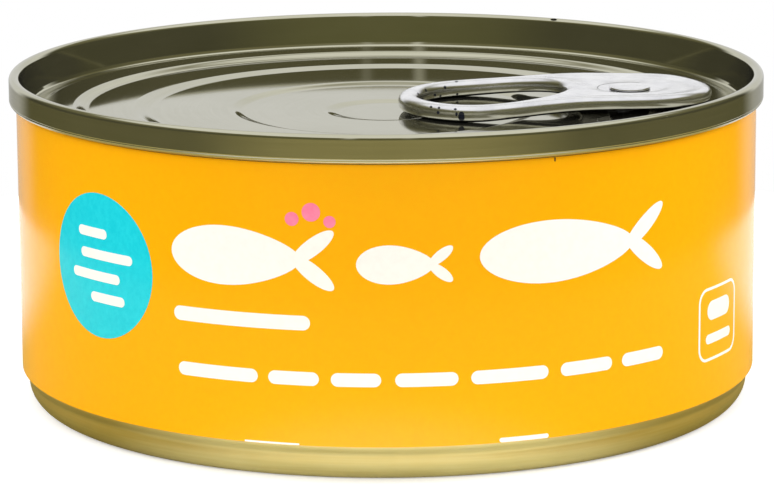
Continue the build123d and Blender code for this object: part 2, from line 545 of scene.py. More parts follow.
@dataclass
class DrawnCup:
    """Steel cup drawn in one piece, with a rounded foot corner and a recessed, stepped base."""

    segments: int = 256
    shoulder_inset: float = 0.65
    shoulder_bottom: float = 2.9
    shoulder_top: float = 4.2
    corner_radius: float = 2.6
    foot_width: float = 1.9
    base_recess: float = 1.0
    base_steps: tuple[tuple[float, float, float], ...] = ((0.74, 1.6, 0.35), (0.42, 1.6, 0.35))
    step_points: int = 6
    foot_corner: float = 0.4
    foot_round: float = 0.5
    wall: float = 0.25
    mouth_depth: float = 3.2
    finish: LacqueredTinplate = LacqueredTinplate(
        "olive_gold_lacquered_tinplate", tint="d2c488", tint_thin="dcd099", roughness=0.28, roughness_spread=0.08)
    top: float = field(init=False)
    radius: float = field(init=False)

    def __post_init__(self) -> None:
        """Take the wall's top and radius from the frame."""
        low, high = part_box("can_body")
        self.top = high[2] / MM
        self.radius = (high[0] - low[0]) / 2 / MM

    def profile(self) -> Profile:
        """Outline of the cup from the middle of its base, out, up and back to the axis.

        Returns:
            Radius and height points.
        """
        shoulder = self.radius - self.shoulder_inset
        foot_outer = shoulder - self.corner_radius
        foot_inner = foot_outer - self.foot_width
        height = self.base_recess - sum(drop for _, _, drop in self.base_steps)
        points = [(0.0, height)]
        for place, width, drop in reversed(self.base_steps):
            middle = place * foot_inner
            for step in range(self.step_points + 1):
                share = step / self.step_points
                points.append((middle + width * (share - 0.5), height + drop * smooth_step(share)))
            height += drop
        base_edge = foot_inner - self.base_recess - 0.6
        points.append((base_edge, height))
        points += round_corner((base_edge, height - self.foot_corner), self.foot_corner, 90, 35, 4)
        points += round_corner((foot_inner + 0.3, self.foot_round), self.foot_round, 215, 270, 4)
        points += round_corner((foot_outer, self.corner_radius), self.corner_radius, -90, 0, 14)
        points.append((shoulder, self.shoulder_bottom))
        for step in range(1, self.step_points + 1):
            share = step / self.step_points
            rise = self.shoulder_top - self.shoulder_bottom
            points.append((shoulder + self.shoulder_inset * smooth_step(share), self.shoulder_bottom + rise * share))
        inner, fill = self.radius - self.wall, self.top - self.mouth_depth
        return [*points, (self.radius, self.top), (inner, self.top), (inner, fill), (0.0, fill)]

    def build(self) -> bpy.types.Object:
        """Make the cup."""
        bm = turned(self.profile(), self.segments)
        return finish_mesh("drawn_cup", bm, self.finish.make(), ("can_body",))


# ---------------------------------------------------------------- easy-open end


@dataclass
class EasyOpenEnd:
    """Seamed end: rolled rim, leaning chuck wall, groove, and a panel stepped down to its middle."""

    segments: int = 320
    seam_height: float = 3.1
    seam_thickness: float = 1.25
    top_round: float = 0.55
    bottom_round: float = 0.35
    roll_line_height: float = 0.42
    roll_line_depth: float = 0.05
    roll_line_half_width: float = 0.08
    chuck_depth: float = 4.1
    chuck_lean: float = 0.8
    groove_width: float = 1.1
    groove_height: float = 0.3
    groove_round: float = 0.35
    shoulder_run: float = 1.2
    sheet: float = 0.3
    panel_steps: tuple[tuple[float, float, float], ...] = (
        (0.901, 1.8, 0.50), (0.719, 2.5, 0.27), (0.440, 1.6, 0.33), (0.164, 1.9, 0.25))
    step_points: int = 8
    finish: LacqueredTinplate = LacqueredTinplate(
        "clear_lacquered_tinplate_end", roughness=0.045, roughness_spread=0.02)
    nick_bearing_deg: float = 29.6
    nick_size: tuple[float, float, float] = (0.7, 0.5, 0.16)
    # The nick is a small spot sunk into the rim's top and given a dark colour.
    nick_finish: LacqueredTinplate = LacqueredTinplate(
        "dark_rim_nick", tint="2c2a1c", tint_thin="38362a", grazing="505048", roughness=0.5)
    height: float = field(init=False)
    radius: float = field(init=False)

    def __post_init__(self) -> None:
        """Take the rim's height and radius from the frame."""
        low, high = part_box("lid")
        self.height = high[2] / MM
        self.radius = (high[0] - low[0]) / 2 / MM

    @property
    def rim_radius(self) -> float:
        """Inner radius of the rolled rim."""
        return self.radius - self.seam_thickness

    @property
    def foot_radius(self) -> float:
        """Radius of the chuck wall's foot."""
        return self.rim_radius - self.chuck_lean

    @property
    def panel_radius(self) -> float:
        """Radius of the panel's shoulder."""
        return self.foot_radius - self.groove_width - self.shoulder_run

    def panel(self) -> Profile:
        """Top of the panel from its shoulder in to the middle, with eased steps.

        Returns:
            Radius and height points.
        """
        height = self.height - self.chuck_depth + self.groove_height
        points = [(self.panel_radius, height)]
        for place, width, drop in self.panel_steps:
            middle = place * self.panel_radius
            for step in range(self.step_points + 1):
                share = step / self.step_points
                points.append((middle + width * (0.5 - share), height - drop * smooth_step(share)))
            height -= drop
        points.append((0.0, height))
        return points

    def panel_height(self, radius: float) -> float:
        """Height of the panel's top at a radius.

        Args:
            radius: Distance from the axis.

        Returns:
            Height above the ground.
        """
        points = self.panel()
        for (outer, high), (inner, low) in zip(points, points[1:]):
            if inner <= radius <= outer:
                return low + (high - low) * (radius - inner) / max(outer - inner, 1e-6)
        return points[0][1]

    def inside(self) -> Profile:
        """Inside of the end, from the rim's top down the chuck wall and in to the middle.

        Returns:
            Radius and height points.
        """
        floor = self.height - self.chuck_depth
        wall = [(self.foot_radius + 0.25, floor + 0.5)]
        groove_inner = self.foot_radius - self.groove_width
        groove = round_corner((self.foot_radius - 0.2, floor + self.groove_round), self.groove_round, -25, -90, 5)
        rise = []
        for step in range(self.step_points + 1):
            share = step / self.step_points
            radius = groove_inner - self.shoulder_run * share
            rise.append((radius, floor + self.groove_height * smooth_step(share)))
        return wall + groove + rise + self.panel()[1:]

    def under(self) -> Profile:
        """Underside from the middle out to the seam, one sheet below the inside."""
        lean = self.chuck_lean * (self.chuck_depth + self.sheet - self.seam_height) / self.chuck_depth
        below = [(radius, height - self.sheet) for radius, height in reversed(self.inside()[7:])]
        floor = self.height - self.chuck_depth - self.sheet
        return below + [(self.foot_radius + self.sheet, floor),
                        (self.foot_radius + self.sheet + lean, self.height - self.seam_height)]

    def seam(self) -> Profile:
        """Outside of the rolled seam, from under the seam up and over the rim.

        Returns:
            Radius and height points.
        """
        bottom = self.height - self.seam_height
        line = bottom + self.roll_line_height
        half = self.roll_line_half_width
        crest = self.height - self.top_round
        points = round_corner((self.radius - self.bottom_round, bottom + self.bottom_round),
                              self.bottom_round, -90, 0, 6)
        points += [(self.radius, line - half), (self.radius - self.roll_line_depth, line), (self.radius, line + half)]
        points += round_corner((self.radius - self.top_round, crest), self.top_round, 0, 90, 8)
        points += round_corner((self.rim_radius + self.top_round, crest), self.top_round, 90, 170, 8)
        return points

    def build_nick(self) -> bpy.types.Object:
        """Make the small dark nick in the far side of the rim."""
        bm = bmesh.new()
        bmesh.ops.create_uvsphere(bm, u_segments=16, v_segments=8, radius=1.0)
        bmesh.ops.scale(bm, vec=self.nick_size, verts=bm.verts)
        bmesh.ops.translate(bm, vec=(0, self.rim_radius + self.top_round, self.height - self.nick_size[2]),
                            verts=bm.verts)
        bmesh.ops.rotate(bm, matrix=Matrix.Rotation(-math.radians(self.nick_bearing_deg), 3, "Z"), verts=bm.verts)
        return finish_mesh("rim_nick", bm, self.nick_finish.make())

    def build(self) -> bpy.types.Object:
        """Make the end."""
        bm = turned([*reversed(self.inside()), *reversed(self.seam()), *reversed(self.under())], self.segments)
        return finish_mesh("easy_open_end", bm, self.finish.make(), ("lid",), sharp_deg=60)


# ---------------------------------------------------------------- ring tab


@dataclass
class RingTab:
    """Pressed ring tab: curled edge all round, finger hole, thin web, slit tongue and rivet."""

    end: EasyOpenEnd
    ring_radius: float = 10.1
    nose_radius: float = 8.6
    ring_band: float = 2.25
    hole_length: float = 17.0
    ring_thickness: float = 1.95
    crest_thickness: float = 1.65
    nose_thickness: float = 1.5
    arch: float = 0.87
    nose_droop: float = 0.2
    arch_start: float = 6.5
    crest_start: float = 22.7
    crest_end: float = 31.5
    curl_half_width: float = 1.12
    hole_curl_half_angle: float = 104.0
    section_power: float = 0.8
    nose_curl_half_width: float = 0.95
    web: float = 0.35
    web_valley: float = 0.16
    valley_from_curl: float = 1.6
    valley_from_hole: float = 2.2
    rivet_from_nose: float = 9.5
    tongue_radius: float = 3.7
    tongue_dip: float = 0.36
    dip_ease: float = 2.4
    slit_width: float = 0.08
    slit_half_angle: float = 112.0
    stem_radius: float = 1.6
    head_radius: float = 2.4
    head_height: float = 0.27
    head_round: float = 0.15
    boss_radius: float = 3.0
    boss_round: float = 0.6
    outline_steps: int = 200
    section_steps: int = 24
    web_cuts: int = 40
    speck_lift: float = 0.025
    # Angle about the ring, turn round its curl in degrees, length and width of each speck.
    specks: tuple[tuple[float, float, float, float], ...] = (
        (167, 150, 0.5, 0.35), (149, 150, 0.35, 0.5), (158, 195, 1.1, 0.3), (137, 190, 0.5, 0.3),
        (125, 155, 0.4, 0.5), (130, 205, 0.35, 0.4), (112, 110, 0.5, 0.25), (113, 205, 0.4, 0.35),
        (-130, 36, 0.35, 0.3), (-123.6, 36, 0.3, 0.35), (-111.5, 36, 0.35, 0.3), (-123.6, 5, 0.3, 0.3),
        (-110.3, 5, 0.3, 0.35), (-107.0, -8, 0.75, 1.1))
    finish: RolledTabMetal = RolledTabMetal("bright_rolled_tab_metal")
    heel_x: float = field(init=False)
    nose_x: float = field(init=False)
    rest: float = field(init=False)

    def __post_init__(self) -> None:
        """Take the tab's ends and the height it rests at from the frame."""
        low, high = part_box("ring_tab")
        self.heel_x = low[0] / MM
        self.nose_x = high[0] / MM
        self.rest = low[2] / MM

    @property
    def length(self) -> float:
        """Length from heel to nose."""
        return self.nose_x - self.heel_x

    @property
    def ring_x(self) -> float:
        """Middle of the ring's round end."""
        return self.heel_x + self.ring_radius

    @property
    def nose_centre_x(self) -> float:
        """Middle of the nose's round end."""
        return self.nose_x - self.nose_radius

    @property
    def rivet_x(self) -> float:
        """Place of the rivet along X."""
        return self.nose_x - self.rivet_from_nose

    def arch_share(self, x: float) -> tuple[float, float]:
        """How far the arch has risen and the nose has drooped at a place along X."""
        along = x - self.heel_x
        rise = smooth_step((along - self.arch_start) / (self.crest_start - self.arch_start))
        fall = smooth_step((along - self.crest_end) / (self.length - self.crest_end))
        return rise, fall

    def top_height(self, x: float) -> float:
        """Height of the tab's top at a place along X."""
        rise, fall = self.arch_share(x)
        return self.rest + self.ring_thickness + self.arch * rise - self.nose_droop * fall

    def thickness(self, x: float) -> float:
        """Height of the curled edge at a place along X."""
        rise, fall = self.arch_share(x)
        thinned = self.ring_thickness + (self.crest_thickness - self.ring_thickness) * rise
        return thinned + (self.nose_thickness - self.crest_thickness) * fall

    def section(self, turn: float) -> tuple[float, float]:
        """Point of the curl's section, a rounded square between -1 and 1, at an angle round it."""
        across, up = math.cos(turn), math.sin(turn)
        return (math.copysign(abs(across) ** self.section_power, across),
                math.copysign(abs(up) ** self.section_power, up))

    def half_width(self, x: float) -> float:
        """Half width of the curl at a place along X."""
        rise, _ = self.arch_share(x)
        return self.curl_half_width + (self.nose_curl_half_width - self.curl_half_width) * rise

    def outline_stations(self) -> list[tuple[float, float]]:
        """Stations round the outline as (share from nose to ring, angle).

        Returns:
            Evenly spread stations over both arcs and both flanks.
        """
        gap = self.nose_centre_x - self.ring_x
        tangent = math.acos((self.ring_radius - self.nose_radius) / gap)
        nose_arc = 2 * tangent * self.nose_radius
        ring_arc = 2 * (math.pi - tangent) * self.ring_radius
        total = nose_arc + ring_arc + 2 * gap
        stations = []
        for index in range(self.outline_steps):
            way = index / self.outline_steps * total
            if way < nose_arc:
                stations.append((0.0, -tangent + way / self.nose_radius))
            elif way < nose_arc + gap:
                stations.append(((way - nose_arc) / gap, tangent))
            elif way < nose_arc + gap + ring_arc:
                stations.append((1.0, tangent + (way - nose_arc - gap) / self.ring_radius))
            else:
                stations.append((1 - (way - nose_arc - gap - ring_arc) / gap, -tangent))
        return stations

    def outline_point(self, station: tuple[float, float], inset: float) -> tuple[float, float]:
        """Point of the outline drawn in by an inset.

        Args:
            station: Share from nose to ring, and angle.
            inset: Distance in from the outline.

        Returns:
            X and Y.
        """
        share, angle = station
        centre = self.nose_centre_x + (self.ring_x - self.nose_centre_x) * share
        radius = self.nose_radius + (self.ring_radius - self.nose_radius) * share - inset
        return centre + radius * math.cos(angle), radius * math.sin(angle)

    def hole_point(self, angle: float, outset: float) -> tuple[float, float]:
        """Point of the finger hole's edge moved out by an outset.

        Args:
            angle: Angle about the ring's middle.
            outset: Distance out from the hole's edge.

        Returns:
            X and Y.
        """
        radius = self.ring_radius - self.ring_band
        reach = self.hole_length - radius if math.cos(angle) > 0 else radius
        return (self.ring_x + (reach + outset) * math.cos(angle), (radius + outset) * math.sin(angle))

    def tube(self, bm: bmesh.types.BMesh, count: int, place: Callable[[int, float], tuple[float, float]],
             closed: bool) -> None:
        """Curl a closed section along a path by extruding its first loop round the section.

        Args:
            bm: Shape that gets the tube.
            count: Stations along the path.
            place: X and Y of a station at an inset from the curl's outside.
            closed: Whether the path closes on itself.
        """
        def spot(index: int, turn: float) -> Vector:
            middle = Vector((*place(index, self.curl_half_width), 0))
            half = self.half_width(middle.x)
            across, up = self.section(turn)
            x, y = place(index, half * (1 - across))
            height = self.thickness(x)
            return Vector((x, y, self.top_height(x) - height / 2 + height / 2 * up))

        first = [bm.verts.new(spot(index, 0.0)) for index in range(count)]
        pairs = list(zip(first, first[1:])) + ([(first[-1], first[0])] if closed else [])
        ring = [bm.edges.new(pair) for pair in pairs]
        start, current = ring, {vert: index for index, vert in enumerate(first)}
        for step in range(1, self.section_steps):
            turn = math.tau * step / self.section_steps
            made = bmesh.ops.extrude_edge_only(bm, edges=ring)["geom"]
            fresh = [item for item in made if isinstance(item, bmesh.types.BMVert)]
            ring = [item for item in made if isinstance(item, bmesh.types.BMEdge)
                    and all(vert in fresh for vert in item.verts)]
            moved = {}
            for vert in fresh:
                source = next(edge.other_vert(vert) for edge in vert.link_edges if edge.other_vert(vert) in current)
                moved[vert] = current[source]
                vert.co = spot(moved[vert], turn)
            current = moved
        bmesh.ops.bridge_loops(bm, edges=start + ring)
        if not closed:
            bmesh.ops.holes_fill(bm, edges=[edge for edge in bm.edges if edge.is_boundary], sides=0)

    def web_drop(self, x: float, y: float) -> float:
        """How far the web lies under the tab's top at a place, for its valley and the tongue's dip."""
        share = min(max((x - self.ring_x) / (self.nose_centre_x - self.ring_x), 0), 1)
        centre = self.ring_x + (self.nose_centre_x - self.ring_x) * share
        radius = self.ring_radius + (self.nose_radius - self.ring_radius) * share
        from_curl = radius - self.half_width(x) - math.hypot(x - centre, y)
        reach = self.hole_length - self.ring_radius + self.ring_band + self.curl_half_width
        side = self.ring_radius - self.ring_band + self.curl_half_width
        from_hole = (math.hypot((x - self.ring_x) / reach, y / side) - 1) * side
        eased = smooth_step(from_curl / self.valley_from_curl) * smooth_step(from_hole / self.valley_from_hole)
        valley = self.web_valley * eased
        to_rivet = math.hypot(x - self.rivet_x, y)
        dip = self.tongue_dip * (1 - smooth_step((to_rivet - self.tongue_radius * 0.75) / self.dip_ease))
        return valley + dip

    def slit_cutter(self) -> bpy.types.Object:
        """C-shaped cutter of the slit that frees the tongue, open towards the nose.

        Returns:
            A temporary object.
        """
        bm = bmesh.new()
        bmesh.ops.create_grid(bm, x_segments=1, y_segments=1, size=0.5)
        bmesh.ops.scale(bm, vec=(self.slit_width, 4.0, 1.0), verts=bm.verts)
        stand(bm, self.tongue_radius + self.slit_width / 2)
        half = math.radians(self.slit_half_angle)
        bmesh.ops.rotate(bm, matrix=Matrix.Rotation(math.pi - half, 3, "Z"), verts=bm.verts)
        bmesh.ops.spin(bm, geom=bm.verts[:] + bm.edges[:] + bm.faces[:], cent=(0, 0, 0), axis=(0, 0, 1),
                       angle=2 * half, steps=64, use_duplicate=False)
        bmesh.ops.recalc_face_normals(bm, faces=bm.faces)
        bmesh.ops.translate(bm, vec=(self.rivet_x, 0, 0), verts=bm.verts)
        return placed("slit_cutter", bm)

    def flat_web(self) -> bmesh.types.BMesh:
        """Flat web between the curls, with the slit cut through it.

        Returns:
            The web, still flat, in millimetres.
        """
        bm = bmesh.new()
        loops = []
        stations = self.outline_stations()
        outer = [self.outline_point(station, self.half_width(self.outline_point(station, 1.0)[0]))
                 for station in stations]
        inner = []
        for x, y in outer:
            angle = math.atan2(y / (self.ring_radius - self.ring_band), (x - self.ring_x) / (self.hole_length / 2))
            inner.append(self.hole_point(angle, self.curl_half_width * 0.99))
        for loop in (outer, inner):
            verts = [bm.verts.new((x, y, 0)) for x, y in loop]
            loops += [bm.edges.new(pair) for pair in zip(verts, verts[1:] + verts[:1])]
        across = bmesh.ops.bridge_loops(bm, edges=loops)["edges"]
        bmesh.ops.subdivide_edges(bm, edges=across, cuts=self.web_cuts, use_grid_fill=True)
        bmesh.ops.remove_doubles(bm, verts=bm.verts, dist=0.004)
        narrow = [face for face in bm.faces if face.calc_area() < 1e-6]
        bmesh.ops.delete(bm, geom=narrow, context="FACES")
        bmesh.ops.recalc_face_normals(bm, faces=bm.faces)
        bmesh.ops.solidify(bm, geom=bm.faces[:], thickness=self.web)
        level = max(vert.co.z for vert in bm.verts)
        bmesh.ops.translate(bm, vec=(0, 0, -level), verts=bm.verts)
        plate = placed("tab_web", bm)
        cutter = self.slit_cutter()
        cut = plate.modifiers.new("slit", "BOOLEAN")
        cut.object = cutter
        cut.operation = "DIFFERENCE"
        cut.solver = "EXACT"
        bpy.context.view_layer.update()
        done = bpy.data.meshes.new_from_object(plate.evaluated_get(bpy.context.evaluated_depsgraph_get()))
        web = bmesh.new()
        web.from_mesh(done)
        for spare in (plate, cutter):
            bpy.data.objects.remove(spare)
        return web

    def build_tab(self) -> bpy.types.Object:
        """Make the tab.

        Returns:
            The tab's object.
        """
        bm = self.flat_web()
        for vert in bm.verts:
            vert.co.z += self.top_height(vert.co.x) - self.web_drop(vert.co.x, vert.co.y) - 0.01
        stations = self.outline_stations()
        self.tube(bm, len(stations), lambda index, inset: self.outline_point(stations[index], inset), True)
        count = self.outline_steps // 2
        span = math.radians(self.hole_curl_half_angle)
        angles = [-span + 2 * span * index / (count - 1) for index in range(count)]
        width = 2 * self.curl_half_width
        self.tube(bm, count, lambda index, inset: self.hole_point(angles[index], width - inset), False)
        return finish_mesh("ring_tab_curled", bm, self.finish.make(), ("ring_tab",), sharp_deg=50)

    def build_rivet(self) -> bpy.types.Object:
        """Make the end's rivet: a boss under the tongue, the stem and the flattened head.

        Returns:
            The rivet's object.
        """
        tongue = self.top_height(self.rivet_x) - self.web_drop(self.rivet_x, 0)
        base = self.end.panel_height(self.rivet_x) - self.end.sheet / 2
        under = tongue - self.web
        crown = tongue + self.head_height
        points = [(self.boss_radius, base)]
        points += round_corner((self.head_radius - self.boss_round, under - self.boss_round),
                               self.boss_round, 20, 90, 5)
        points += [(self.stem_radius, under), (self.stem_radius, tongue)]
        points += round_corner((self.head_radius - self.head_round, tongue + self.head_round),
                               self.head_round, -90, 60, 6)
        points += [(self.head_radius * 0.6, crown - 0.03), (self.head_radius * 0.3, crown), (0.0, crown)]
        bm = turned(points, 96)
        bmesh.ops.translate(bm, vec=(self.rivet_x, 0, 0), verts=bm.verts)
        return finish_mesh("end_rivet", bm, self.finish.make())

    def curl_point(self, angle: float, turn: float, lift: float) -> Vector:
        """Point on the ring's curl.

        Args:
            angle: Angle about the ring's middle.
            turn: Angle round the curl's section, from its outer side over its top.
            lift: Height above the surface.

        Returns:
            The point, in millimetres.
        """
        half = self.half_width(self.ring_x + self.ring_radius * math.cos(angle))
        across, up = self.section(turn)
        x, y = self.outline_point((1.0, angle), half * (1 - across) - lift * across)
        height = self.thickness(x)
        return Vector((x, y, self.top_height(x) - height / 2 + (height / 2 + lift) * up))

    def build_specks(self) -> bpy.types.Object:
        """Make the specks of dark ink that sit on the ring.

        Returns:
            The specks' object.
        """
        bm = bmesh.new()
        for angle_deg, turn_deg, length, width in self.specks:
            made = bmesh.ops.create_grid(bm, x_segments=6, y_segments=6, size=1.0)["verts"]
            for vert in made:
                u, v = vert.co.x, vert.co.y
                along = u * math.sqrt(1 - v * v / 2) * length / 2 / self.ring_radius
                round_it = v * math.sqrt(1 - u * u / 2) * width / 2 / self.curl_half_width
                vert.co = self.curl_point(math.radians(angle_deg) + along, math.radians(turn_deg) + round_it,
                                          self.speck_lift)
        bmesh.ops.solidify(bm, geom=bm.faces[:], thickness=self.speck_lift)
        return finish_mesh("tab_ink_specks", bm, Ink.BLUE_BLACK.finish().make())

    def build(self) -> None:
        """Make the tab, its rivet and the ink specks on it."""
        self.build_tab()
        self.build_rivet()
        self.build_specks()


# ---------------------------------------------------------------- sleeve and print


@dataclass
class PaperSleeve:
    """Printed paper sleeve with a glued overlap at the back."""

    segments: int = 256
    lap_width: float = 6.7
    paper: float = 0.12
    lift: float = 0.02
    film_step: float = 0.003
    wrap_step: float = 1.2
    finish: PrintedPaper = PrintedPaper("orange_printed_paper")
    bottom: float = field(init=False)
    top: float = field(init=False)
    radius: float = field(init=False)

    def __post_init__(self) -> None:
        """Take the sleeve's height and radius from the frame."""
        low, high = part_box("label")
        self.bottom = low[2] / MM
        self.top = high[2] / MM
        self.radius = (high[0] - low[0]) / 2 / MM

    def build_sleeve(self) -> bpy.types.Object:
        """Make the sleeve."""
        inner = self.radius - self.paper
        points = [(inner, self.bottom), (self.radius, self.bottom), (self.radius, self.top), (inner, self.top)]
        bm = turned(points + points[:1], self.segments)
        return finish_mesh("paper_sleeve", bm, self.finish.make(), ("label",))

    def wrap(self, bm: bmesh.types.BMesh, lift: float) -> None:
        """Bend a flat shape, X along the wall and Z up, round the can's front.

        Args:
            bm: Shape, in millimetres.
            lift: Height of the shape's face above the sleeve.
        """
        low = min(vert.co.x for vert in bm.verts)
        high = max(vert.co.x for vert in bm.verts)
        cut = math.ceil(low / self.wrap_step) * self.wrap_step
        while cut < high:
            bmesh.ops.bisect_plane(bm, geom=bm.verts[:] + bm.edges[:] + bm.faces[:], dist=1e-6,
                                   plane_co=(cut, 0, 0), plane_no=(1, 0, 0))
            cut += self.wrap_step
        for vert in bm.verts:
            angle = vert.co.x / self.radius
            reach = self.radius + lift + vert.co.y
            vert.co = (reach * math.sin(angle), -reach * math.cos(angle), vert.co.z)

    def field_of(self, name: str, ink: Ink, shapes: Iterable[bmesh.types.BMesh], layer: int = 1) -> bpy.types.Object:
        """Print flat shapes on the sleeve as one piece.

        Args:
            name: Piece name.
            ink: Ink of the field.
            shapes: Flat shapes, each freed here.
            layer: Ink layer, counted from the paper.

        Returns:
            The field's object.
        """
        whole = bmesh.new()
        for index, shape in enumerate(shapes):
            bmesh.ops.translate(shape, vec=(0, self.film_step * index, 0), verts=shape.verts)
            absorb(whole, shape)
        self.wrap(whole, self.lift * layer)
        for face in whole.faces:
            face.normal_update()
            middle = face.calc_center_median()
            if face.normal.dot(Vector((middle.x, middle.y, 0))) < 0:
                face.normal_flip()
        bmesh.ops.solidify(whole, geom=whole.faces[:], thickness=self.lift * layer)
        return finish_mesh(name, whole, ink.finish().make())

    def build_lap(self) -> bpy.types.Object:
        """Make the glued overlap at the back of the sleeve."""
        bm = bmesh.new()
        bmesh.ops.create_grid(bm, x_segments=8, y_segments=1, size=0.5)
        height = self.top - self.bottom
        bmesh.ops.scale(bm, vec=(self.lap_width, height, 1), verts=bm.verts)
        stand(bm, z=(self.top + self.bottom) / 2)
        bmesh.ops.solidify(bm, geom=bm.faces[:], thickness=self.paper * 0.9)
        for vert in bm.verts:
            angle = vert.co.x / self.radius
            reach = self.radius + abs(vert.co.y)
            vert.co = (reach * math.sin(angle), reach * math.cos(angle), vert.co.z)
        return finish_mesh("sleeve_overlap", bm, self.finish.make())


def disc(x: float, z: float, half_width: float, half_height: float, turn: float = 0.0) -> bmesh.types.BMesh:
    """Flat oval in the XZ plane.

    Args:
        x: Place of its middle along the wall.
        z: Height of its middle.
        half_width: Half its width.
        half_height: Half its height.
        turn: Turn in degrees.

    Returns:
        The oval.
    """
    bm = bmesh.new()
    bmesh.ops.create_circle(bm, cap_ends=True, segments=64, radius=1.0)
    bmesh.ops.scale(bm, vec=(half_width, half_height, 1), verts=bm.verts)
    bmesh.ops.rotate(bm, matrix=Matrix.Rotation(math.radians(turn), 3, "Z"), verts=bm.verts)
    stand(bm, x, z)
    return bm


def bar(x: float, z: float, width: float, height: float, corner: float | None = None) -> bmesh.types.BMesh:
    """Flat bar with round corners in the XZ plane.

    Args:
        x: Place of its middle along the wall.
        z: Height of its middle.
        width: Full width.
        height: Full height.
        corner: Corner radius, or None for fully round ends.

    Returns:
        The bar.
    """
    bm = bmesh.new()
    bmesh.ops.create_grid(bm, x_segments=1, y_segments=1, size=0.5)
    bmesh.ops.scale(bm, vec=(width, height, 1), verts=bm.verts)
    radius = min(width, height) * 0.499 if corner is None else corner
    bmesh.ops.bevel(bm, geom=bm.verts[:], offset=radius, affect="VERTICES", segments=10, profile=0.5, material=-1)
    stand(bm, x, z)
    return bm


def frame_of(x: float, z: float, width: float, height: float, corner: float, line: float) -> bmesh.types.BMesh:
    """Flat outline of a bar with round corners.

    Args:
        x: Place of its middle along the wall.
        z: Height of its middle.
        width: Full width.
        height: Full height.
        corner: Corner radius.
        line: Width of the line.

    Returns:
        The outline.
    """
    bm = bar(x, z, width, height, corner)
    inside = bar(x, z, width - 2 * line, height - 2 * line, corner - line)
    absorb(bm, inside)
    bmesh.ops.delete(bm, geom=bm.faces[:], context="FACES_ONLY")
    bmesh.ops.bridge_loops(bm, edges=bm.edges[:])
    return bm


def fish(x: float, z: float, length: float, height: float) -> list[bmesh.types.BMesh]:
    """Plain fish outline: an oval body and a forked tail.

    Args:
        x: Place of its middle along the wall.
        z: Height of its middle.
        length: Full length.
        height: Body height.

    Returns:
        The shapes of the fish.
    """
    body = disc(x - length * 0.1, z, length * 0.4, height / 2)
    for vert in body.verts:
        share = (vert.co.x - (x - length * 0.5)) / (length * 0.8)
        vert.co.z = z + (vert.co.z - z) * (1 - 0.35 * share * share)
    lobes = [disc(x + length * 0.37, z + side * height * 0.2, length * 0.15, height * 0.13, side * 38)
             for side in (-1, 1)]
    return [body, *lobes]


@dataclass
class Print:
    """Generic print of the sleeve's front: an oval field, fish, bars and a framed badge."""

    sleeve: PaperSleeve
    oval_middle: tuple[float, float] = (-35.4, 21.3)
    oval_half: tuple[float, float] = (8.2, 8.1)
    # Place from the oval's middle and width of each wave bar.
    waves: tuple[tuple[float, float, float], ...] = (
        (-1.2, 3.6, 5.0), (1.0, 1.2, 8.6), (-0.8, -1.2, 8.2), (1.2, -3.6, 5.6))
    wave_height: float = 1.1
    # Middle, length and body height of each fish.
    shoal: tuple[tuple[float, float, float, float], ...] = (
        (-15.0, 24.6, 19.0, 7.0), (1.9, 24.2, 10.4, 4.6), (21.7, 24.8, 23.5, 7.4))
    # Middle and radius of each bubble.
    bubbles: tuple[tuple[float, float, float], ...] = ((-10.2, 29.0, 0.75), (-8.1, 29.8, 1.0), (-6.1, 28.8, 0.65))
    under_bar: tuple[float, float, float, float] = (-16.3, 17.7, 16.0, 1.6)
    # Place and width of each dash.
    dashes: tuple[tuple[float, float], ...] = (
        (-19.0, 9.6), (-10.2, 5.6), (-3.4, 5.4), (4.2, 6.8), (13.4, 8.8), (22.6, 6.6), (30.4, 6.2))
    dash_height: float = 1.5
    dash_row: float = 11.6
    # Middle, width, height, corner radius and line width.
    badge_frame: tuple[float, float, float, float, float, float] = (44.9, 13.0, 9.4, 8.4, 1.7, 0.32)
    badge_bars: tuple[tuple[float, float, float, float], ...] = ((44.9, 14.5, 5.6, 2.2), (44.9, 11.3, 6.2, 1.1))

    def build_oval(self) -> None:
        """Make the oval field and the waves in it."""
        x, z = self.oval_middle
        self.sleeve.field_of("print_oval", Ink.CYAN, [disc(x, z, *self.oval_half)])
        bars = [bar(x + dx, z + dz, width, self.wave_height) for dx, dz, width in self.waves]
        self.sleeve.field_of("print_oval_waves", Ink.WHITE, bars, layer=2)

    def build_title(self) -> None:
        """Make the row of fish with its bubbles and the bar below it."""
        self.sleeve.field_of("print_fish", Ink.WHITE, [shape for place in self.shoal for shape in fish(*place)])
        rings = [disc(x, z, radius, radius) for x, z, radius in self.bubbles]
        self.sleeve.field_of("print_bubbles", Ink.PINK, rings)
        self.sleeve.field_of("print_under_bar", Ink.WHITE, [bar(*self.under_bar)])

    def build_small_rows(self) -> None:
        """Make the row of small dashes near the sleeve's foot."""
        bars = [bar(x, self.dash_row, width, self.dash_height) for x, width in self.dashes]
        self.sleeve.field_of("print_dashes", Ink.WHITE, bars)

    def build_wear(self) -> None:
        """Make the bare slivers where the sleeve's lower edge is torn, and the dark tick at its top."""
        low, top = self.sleeve.bottom, self.sleeve.top
        torn = [bar(15.0, low + 0.28, 5.7, 0.5), bar(-12.7, low + 0.12, 6.2, 0.2)]
        self.sleeve.field_of("sleeve_torn_slivers", Ink.WHITE, torn)
        self.sleeve.field_of("sleeve_tick", Ink.BLUE_BLACK, [bar(18.5, top - 0.25, 0.16, 0.45)])

    def build_badge(self) -> None:
        """Make the framed badge on the right."""
        shapes = [frame_of(*self.badge_frame), *(bar(*place) for place in self.badge_bars)]
        self.sleeve.field_of("print_badge", Ink.WHITE, shapes)

    def build(self) -> None:
        """Make the whole print."""
        self.build_oval()
        self.build_title()
        self.build_small_rows()
        self.build_badge()
        self.build_wear()


# ---------------------------------------------------------------- studio


